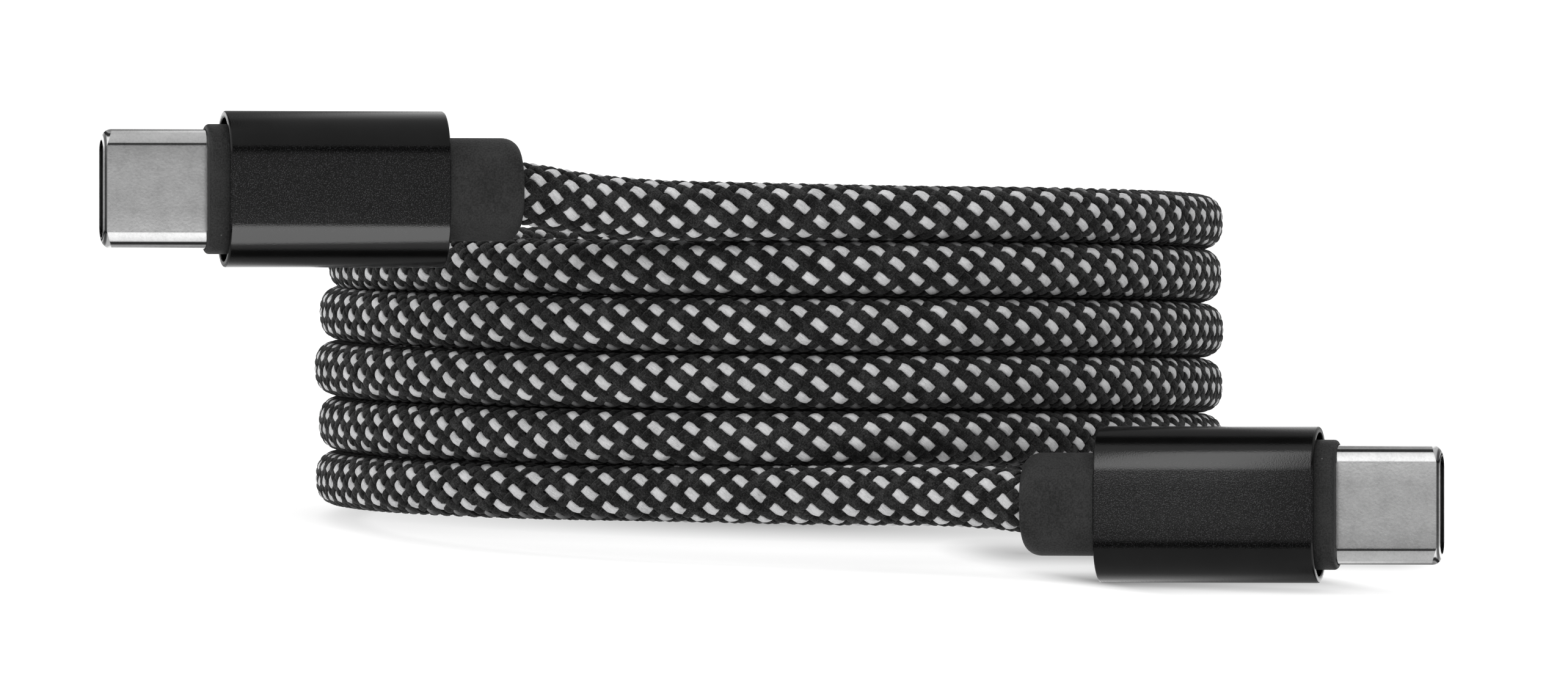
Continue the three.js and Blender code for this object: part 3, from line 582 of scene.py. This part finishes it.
RELIEF_NECK, RELIEF_SEATED = 4.7, 1.5  # thickness and length of the part inside the sleeve
RELIEF_GAP, RELIEF_EDGE = 0.03, 0.06  # between the sleeve and its front edge, and that edge's size
HOLE_WIDE, HOLE_DEEP, HOLE_OFF = 4.36, 1.6, -0.3  # where the cable comes out of it, off its middle line
HOLE_INNER_WIDE, HOLE_INNER_SHARE = 4.2, 0.6  # width further in, and share of that distance left at HOLE_DEEP
PLUG_LENGTH = SLEEVE_REAR + RELIEF_OUT
FLAT_STEPS = 4
SHARP_ANGLE = 32.0


def plug_matrix(degrees, sign, reach, rise):
    """Where a plug lies: on from its lead, level with the other, and turned as the lead leaves the coil."""
    at, along = turn_station(degrees)
    place = at + along * sign * reach + np.array([0, 0, rise])
    level = Matrix.Rotation(math.radians(PLUG_LEVEL), 4, "Y")
    turn = Matrix.Rotation(math.radians(-sign * LEAVE_ANGLE), 4, "Z")
    if sign > 0:
        turn = turn @ Matrix.Rotation(math.pi, 4, "Y")
    back = Matrix.Translation(Vector((-PLUG_LENGTH * MM, 0, 0)))
    return COIL @ Matrix.Translation(Vector(place) * MM) @ level @ turn @ back


PLUGS = {"a": plug_matrix(FIRST_ANGLE, -1, LEAD_A_REACH, PLUG_A_RISE),
         "b": plug_matrix(LAST_ANGLE, 1, LEAD_B_REACH, -PLUG_B_DROP)}


def quarter(steps):
    """Sine and cosine at even steps over a quarter of a circle."""
    angles = [math.pi / 2 * step / steps for step in range(steps + 1)]
    return [(math.sin(angle), math.cos(angle)) for angle in angles]


def outline(wide, thick, corner, steps=14):
    """A rounded rectangle [y, z] round the plug's axis, as many points whatever its size."""
    half_wide, half_thick = wide / 2, thick / 2
    radius = min(corner, half_wide - FIT / 2, half_thick - FIT / 2)
    points = []
    for corner_number in range(4):
        sign_y = 1 if corner_number in (0, 1) else -1
        sign_z = 1 if corner_number in (0, 3) else -1
        for step in range(steps + 1):
            angle = math.pi / 2 * (corner_number + step / steps)
            y = sign_y * (half_thick - radius) + radius * math.sin(angle)
            z = sign_z * (half_wide - radius) + radius * math.cos(angle)
            points.append((y, z))
        if corner_number in (0, 2):
            y, z = points[-1]
            for step in range(1, FLAT_STEPS):
                points.append((y, z * (1 - 2 * step / FLAT_STEPS)))
    return np.array(points)


def loft(name, sections, letter, material, slot_name, node_name):
    """A closed body through sections, each (x, outline), set into plug a or b. x may differ round one."""
    rings = np.stack([np.column_stack([np.broadcast_to(x, len(o)), o]) for x, o in sections])
    count, size = rings.shape[:2]
    faces = ring_faces(count, size, closed=True)[:, [0, 3, 2, 1]]
    local = rings.reshape(-1, 3)
    centre = local[faces].mean(1)
    normal = np.cross(local[faces[:, 1]] - local[faces[:, 0]], local[faces[:, 3]] - local[faces[:, 0]])
    volume = np.sum(normal * centre)
    if volume < 0:
        faces = faces[:, ::-1]
    made = new_object(name, to_world(local, PLUGS[letter]), faces, sharp=SHARP_ANGLE)
    return dress(made, material, slot_name, node_name)


def plug_place(tree, letter):
    """A point's place in the plug's own frame, in metres, for materials that follow its faces."""
    inverse = PLUGS[letter].inverted()
    inputs = {"Vector": object_place(tree), "Location": inverse.to_translation(),
              "Rotation": inverse.to_euler("XYZ")}
    return node(tree, "ShaderNodeMapping", inputs).outputs["Vector"]


# Colour of the shell over the first millimetre from its tip: painted reflections, as dark and bright lines round
# the rolled lip.
LIP_PAINTED_REFLECTION = [(0.0, 0.3), (0.02, 1.0), (0.05, 1.0), (0.08, 0.1), (0.19, 0.15), (0.27, 1.0)]
# Metres off the middle of the width, from the flats to the shell's round edges and from the sleeve's to its flats.
SHELL_FLATS_END, SLEEVE_FLATS_START = (0.00288, 0.00304), (0.0032, 0.0022)


def shell_material(letter):
    """Nickel-plated steel: satin mottled flats, smoother rounded edges and painted reflections, as dark and bright
    lines round the rolled lip.
    """
    material, tree, shader = new_material(f"shell_steel_{letter}", Metallic=1.0)
    local = plug_place(tree, letter)
    parts = split(tree, local)
    smooth = ranged(tree, maths(tree, "ABSOLUTE", parts["Z"]), SHELL_FLATS_END)
    cloud = noise(tree, local, 900.0, detail=3.0, roughness=0.55)
    fine = noise(tree, local, 5200.0, detail=3.0, roughness=0.65)
    tone = maths(tree, "MULTIPLY", maths(tree, "ADD", cloud, fine), 0.5)
    steel = ramp(tree, tone, [(0.32, 0.52), (0.5, 0.61), (0.68, 0.68)])
    # Painted reflections: dark and bright lines round the rolled lip, in the colour.
    lip = ramp(tree, ranged(tree, parts["X"], (0.0, 0.001)), LIP_PAINTED_REFLECTION)
    link(tree, shader, Base_Color=multiplied(tree, steel, lip),
         Roughness=ranged(tree, smooth, end=(0.29, 0.13)),
         Normal=bump(tree, fine, 0.00002, ranged(tree, smooth, end=(0.35, 0.05))))
    return material


def sleeve_material(letter):
    """Bead-blasted, black anodised aluminium: dark, with its fine grain and, on the flats, painted glints where
    light catches that grain.
    """
    material, tree, shader = new_material(f"sleeve_black_{letter}", Specular_IOR_Level=0.25)
    local = plug_place(tree, letter)
    grain = noise(tree, local, 12000.0, detail=1.0)
    slow = noise(tree, local, 500.0)
    flat = ranged(tree, maths(tree, "ABSOLUTE", split(tree, local)["Z"]), SLEEVE_FLATS_START)
    # Painted glints: specks of the grain on the flats are lightened in the colour, where light catches it.
    grain_and_painted_glints = maths(tree, "MULTIPLY", ranged(tree, grain, (0.52, 0.72)), flat)
    base = ramp(tree, slow, [(0.35, 0.0012), (0.65, 0.0022)])
    link(tree, shader, Base_Color=mixed(tree, grain_and_painted_glints, base, (0.03, 0.03, 0.031, 1)),
         Roughness=ranged(tree, flat, end=(0.15, 0.165)), Normal=bump(tree, grain, 0.00002, 0.25))
    return material


def moulded_material(name, letter, dark, light, roughness, specks):
    """Matte moulding with a fine skin, and a few specks of dust where their noise is above a limit."""
    material, tree, shader = new_material(f"{name}_{letter}", Specular_IOR_Level=0.3)
    local = plug_place(tree, letter)
    skin = noise(tree, local, 9000.0, roughness=0.6)
    cloud = noise(tree, local, 350.0, detail=3.0, roughness=0.6)
    tone = maths(tree, "MULTIPLY_ADD", skin, 0.65, maths(tree, "MULTIPLY", cloud, 0.35))
    base = ramp(tree, tone, [(0.38, dark), (0.62, light)])
    dust = ranged(tree, noise(tree, local, 3600.0, detail=0.0), (specks, specks + 0.03))
    link(tree, shader, Base_Color=mixed(tree, dust, base, (0.12, 0.12, 0.12, 1)),
         Roughness=ranged(tree, cloud, end=(roughness - 0.06, roughness + 0.06)),
         Normal=bump(tree, skin, 0.00003, 0.9))
    return material


def make_shell(letter):
    round_part = abs(outline(SHELL_WIDE, SHELL_THICK, SHELL_THICK)[:, 1]) - (SHELL_WIDE - SHELL_THICK) / 2
    at_end = (round_part / (SHELL_THICK / 2)).clip(0, 1)
    deep = LIP_FLAT_DEEP + (LIP_DEEP - LIP_FLAT_DEEP) * at_end
    lip = [(deep * (1 - cos), LIP_WIDE * (1 - sin), LIP_THICK * (1 - sin)) for sin, cos in quarter(10)]
    length = SHELL_OUT + SHELL_SEATED
    profile = [*lip, (length, 0, 0), (length, SHELL_WALL, SHELL_WALL),
               (deep + LIP_INNER_GAP, SHELL_WALL, SHELL_WALL), (deep * LIP_INNER_SHARE, LIP_WIDE, LIP_THICK)]
    sections = [(x, outline(SHELL_WIDE - 2 * w, SHELL_THICK - 2 * t, SHELL_THICK)) for x, w, t in profile]
    return loft(f"shell_{letter}", sections, letter, shell_material(letter), "shell_steel",
                f"plug_shell_{letter}")


def make_collar(letter):
    edge = [(SHELL_OUT + COLLAR_EDGE * (1 - cos), COLLAR_EDGE * (1 - sin)) for sin, cos in quarter(8)]
    bore = outline(SHELL_WIDE + 2 * FIT, SHELL_THICK + 2 * FIT, SHELL_THICK)
    rear = SHELL_OUT + COLLAR_LENGTH
    sections = [(SHELL_OUT, bore)]
    sections += [(x, outline(COLLAR_WIDE - 2 * d, COLLAR_THICK - 2 * d, COLLAR_THICK)) for x, d in edge]
    sections += [(rear, outline(COLLAR_WIDE, COLLAR_THICK, COLLAR_THICK)), (rear, bore)]
    black = moulded_material("moulded_black", letter, dark=0.0055, light=0.024, roughness=0.6, specks=0.86)
    return loft(f"collar_{letter}", sections, letter, black, "moulded_black", f"front_collar_{letter}")


def make_sleeve(letter):
    front_edge = [(SLEEVE_FRONT + SLEEVE_EDGE * (1 - cos), SLEEVE_EDGE * (1 - sin)) for sin, cos in quarter(5)]
    rear_edge = [(SLEEVE_REAR + SLEEVE_FRONT - x, d) for x, d in reversed(front_edge)]
    profile = [*front_edge, *rear_edge, (SLEEVE_REAR, SLEEVE_WALL),
               (SLEEVE_FRONT + SLEEVE_MOUTH_EDGE, SLEEVE_WALL), (SLEEVE_FRONT, SLEEVE_WALL - SLEEVE_MOUTH_EDGE)]
    sections = [(x, outline(SLEEVE_WIDE - 2 * d, SLEEVE_THICK - 2 * d, SLEEVE_THICK, steps=24))
                for x, d in profile]
    return loft(f"sleeve_body_{letter}", sections, letter, sleeve_material(letter), "sleeve_black",
                f"sleeve_{letter}")


def make_relief(letter):
    long, wide_in, thick_in = RELIEF_ROUND
    start, front = SLEEVE_REAR - RELIEF_SEATED, SLEEVE_REAR + RELIEF_GAP
    profile = [(start, RELIEF_WIDE, RELIEF_NECK), (front, RELIEF_WIDE, RELIEF_NECK),
               (front, RELIEF_WIDE - 2 * RELIEF_EDGE, RELIEF_THICK - 2 * RELIEF_EDGE),
               (front + RELIEF_EDGE, RELIEF_WIDE, RELIEF_THICK)]
    profile += [(PLUG_LENGTH - long + long * sin, RELIEF_WIDE - 2 * wide_in * (1 - cos),
                 RELIEF_THICK - 2 * thick_in * (1 - cos)) for sin, cos in quarter(12)]
    sections = [(x, outline(wide, thick, RELIEF_CORNER)) for x, wide, thick in profile]
    hole = outline(HOLE_WIDE, HOLE_WIDE, HOLE_WIDE / 2)
    inner_hole = outline(HOLE_INNER_WIDE, HOLE_INNER_WIDE, HOLE_INNER_WIDE / 2)
    sections += [(PLUG_LENGTH, hole + [0, HOLE_OFF]),
                 (PLUG_LENGTH - HOLE_DEEP, hole + [0, HOLE_OFF * HOLE_INNER_SHARE]), (start, inner_hole)]
    black = moulded_material("relief_black", letter, dark=0.00575, light=0.0255, roughness=0.65, specks=0.85)
    return loft(f"relief_{letter}", sections, letter, black, "relief_black", f"strain_relief_{letter}")


sleeves = {}
for letter in PLUGS:
    make_shell(letter)
    make_collar(letter)
    sleeves[letter] = make_sleeve(letter)
    make_relief(letter)


# ---- CAD nodes that show through the mouth of the plugs, or are hidden ----
def plain_material(name, colour, roughness, metallic=0.0):
    material, tree, shader = new_material(name, Metallic=metallic)
    grain = noise(tree, object_place(tree), 4000.0)
    dark = tuple(c * 0.88 for c in colour)
    light = tuple(min(1.0, c * 1.12) for c in colour)
    link(tree, shader, Base_Color=ramp(tree, grain, [(0.35, dark), (0.65, light)]),
         Roughness=ranged(tree, grain, end=(roughness - 0.05, roughness + 0.05)),
         Normal=bump(tree, grain, 0.00001, 0.4))
    return material


INNER = {
    "inner_steel": plain_material("inner_steel", (0.58, 0.57, 0.55), 0.3, 1.0),
    "contact_gold": plain_material("contact_gold", (0.83, 0.62, 0.27), 0.22, 1.0),
    "moulded_black": plain_material("housing_black", (0.012, 0.012, 0.013), 0.45),
    "mould_inner": plain_material("inner_mould", (0.02, 0.02, 0.02), 0.6),
    "board_green": plain_material("board_green", (0.014, 0.1, 0.045), 0.35),
    "ferrule_brass": plain_material("ferrule_brass", (0.55, 0.4, 0.18), 0.35, 1.0),
    "wire_red": plain_material("wire_red", (0.35, 0.02, 0.015), 0.5),
    "wire_black": plain_material("wire_black", (0.01, 0.01, 0.01), 0.5),
    "wire_blue": plain_material("wire_blue", (0.03, 0.08, 0.35), 0.5),
    "wire_green": plain_material("wire_green", (0.03, 0.2, 0.05), 0.5),
    "wire_white": plain_material("wire_white", (0.7, 0.7, 0.66), 0.5),
    "braid_dark": braid_core,
}
slots = {s["node"]: s["material_slot"] for s in frame["record"]["subparts"]}
for name, thing in frame["nodes"].items():
    if not thing.hide_render and slots.get(name) in INNER:
        thing.data.materials.clear()
        thing.data.materials.append(INNER[slots[name]])

# ---- Floor, world and lights ----
FLOOR_HALF = 20.0
FLOOR_LOW = -0.00002  # just under the part, so that they don't meet
FLOOR_GLOW, FLOOR_PALE = 0.75, 0.4
# Painted shadows in the floor's colour, under the coil, under plug B and behind it. Each is an oblong with its
# middle, its half length, the shadow's reach across and along, its turn in degrees, and the light that is left
# outwards.
PAINTED_SHADOWS = [
    ((0, 0.04, 0), 0.0, (0.046, 0.022, 1), 0,
     [(0.0, 0.36), (0.11, 0.46), (0.41, 0.68), (0.68, 0.9), (0.98, 1.0)]),
    ((0.0299, 0.0045, 0), 0.0073, (0.0045, 0.015, 1), 30,
     [(0.0, 0.3), (0.2, 0.5), (0.45, 0.74), (0.72, 0.91), (1.0, 1.0)]),
    ((0.0305, 0.0225, 0), 0.0125, (0.006, 0.0125, 1), 6,
     [(0.0, 0.5), (0.35, 0.64), (0.7, 0.86), (1.0, 1.0)]),
]


def shade(tree, place, middle, half_length, reach, degrees, stops):
    """A painted shadow: how far a point lies outside an oblong, through a ramp."""
    off = vector_maths(tree, "SUBTRACT", place, middle)
    off = node(tree, "ShaderNodeMapping", {"Vector": off, "Rotation": (0, 0, -math.radians(degrees))})
    off = vector_maths(tree, "ABSOLUTE", off.outputs["Vector"])
    off = vector_maths(tree, "SUBTRACT", off, (half_length, 0, 0))
    off = vector_maths(tree, "MAXIMUM", off, (0, 0, 0))
    return ramp(tree, vector_maths(tree, "LENGTH", vector_maths(tree, "DIVIDE", off, reach)), stops)


def make_floor():
    corners = [(-1, -1), (1, -1), (1, 1), (-1, 1)]
    floor = new_object("floor", [(FLOOR_HALF * x, FLOOR_HALF * y, 0) for x, y in corners], [(0, 1, 2, 3)])
    material, tree, shader = new_material("floor", Roughness=1.0, Specular_IOR_Level=0.0,
                                          Emission_Strength=FLOOR_GLOW)
    place = object_place(tree)
    # Painted shadows darken the floor's glow and its colour.
    left = shade(tree, place, *PAINTED_SHADOWS[0])
    for values in PAINTED_SHADOWS[1:]:
        left = multiplied(tree, left, shade(tree, place, *values))
    link(tree, shader, Emission_Color=left,
         Base_Color=multiplied(tree, left, (FLOOR_PALE, FLOOR_PALE, FLOOR_PALE, 1)))
    floor.data.materials.append(material)
    floor.location.z = FLOOR_LOW
    floor.visible_glossy = False


# Brightness of the surroundings, from 0 (mirrored by slopes that face down) to 1 (up), for plugs a and b.
PANELS_A = [(0.0, 0.12), (0.06, 0.22), (0.1, 0.3), (0.125, 0.02), (0.19, 0.02), (0.22, 0.75), (0.35, 0.95),
            (0.455, 1.0), (0.47, 0.29), (0.5, 0.31), (0.53, 0.34), (0.54, 0.02), (0.595, 0.02), (0.61, 0.4),
            (0.9, 0.47), (0.94, 0.85), (0.98, 1.0)]
PANELS_B = [(1 - place, colour) for place, colour in reversed(PANELS_A)]
PANELS_MEET = 0.04  # slope to the right or left at which one set has given way to the other
WORLD_STRENGTH = 1.6
PLUGS_MIDDLE = Vector((0, 0, 0.015))


def make_world():
    """Fixed bright and dark panels, laid out by the slope that mirrors them towards the photo's side."""
    world = bpy.data.worlds.new("world")
    bpy.context.scene.world = world
    world.use_nodes = True
    tree = world.node_tree
    direction = node(tree, "ShaderNodeTexCoord").outputs["Generated"]
    toward = (bpy.context.scene.camera.matrix_world.translation - PLUGS_MIDDLE).normalized()
    halfway = vector_maths(tree, "NORMALIZE", vector_maths(tree, "ADD", direction, toward))
    height = vector_maths(tree, "DOT_PRODUCT", halfway, COIL.to_3x3().col[2])
    height = maths(tree, "MULTIPLY_ADD", height, 0.5, 0.5)
    side = ranged(tree, split(tree, halfway)["X"], (-PANELS_MEET, PANELS_MEET))
    background = tree.nodes["Background"]
    link(tree, background, Color=mixed(tree, side, ramp(tree, height, PANELS_B), ramp(tree, height, PANELS_A)))
    background.inputs["Strength"].default_value = WORLD_STRENGTH


def area_light(name, place, tilt, size, radiance, mirrored_in=None):
    """A soft panel, facing down at a tilt of 0, back at 90 and up at 180 degrees.

    It lights everything, or it is only mirrored in one object. It never shows itself to the camera.
    """
    wide, high = size
    data = bpy.data.lights.new(name, "AREA")
    data.shape = "RECTANGLE"
    data.size, data.size_y = wide, high
    data.energy = radiance * wide * high * math.pi
    made = bpy.data.objects.new(name, data)
    bpy.context.scene.collection.objects.link(made)
    made.location = place
    made.rotation_euler = (math.radians(tilt), 0, 0)
    made.visible_camera = False
    made.visible_glossy = mirrored_in is not None
    made.visible_diffuse = mirrored_in is None
    if mirrored_in is not None:
        chosen = bpy.data.collections.new(name + "_only")
        chosen.objects.link(mirrored_in)
        made.light_linking.receiver_collection = chosen


make_floor()
make_world()
area_light("sky", (0, 0.1, 1.2), 0, (1.6, 1.6), 1.1)
area_light("fill", (0, -1.2, 0.5), 68, (1.2, 0.8), 0.9)
area_light("strip_a", (0.065, -0.37, 0.0005), 180, (0.23, 0.7), 4.9, mirrored_in=sleeves["a"])
area_light("strip_b", (-0.225, -0.5, 0.42), 90, (0.25, 0.7), 4.8, mirrored_in=sleeves["b"])

scene = bpy.context.scene
scene.view_settings.view_transform = "Standard"
scene.view_settings.look = "None"
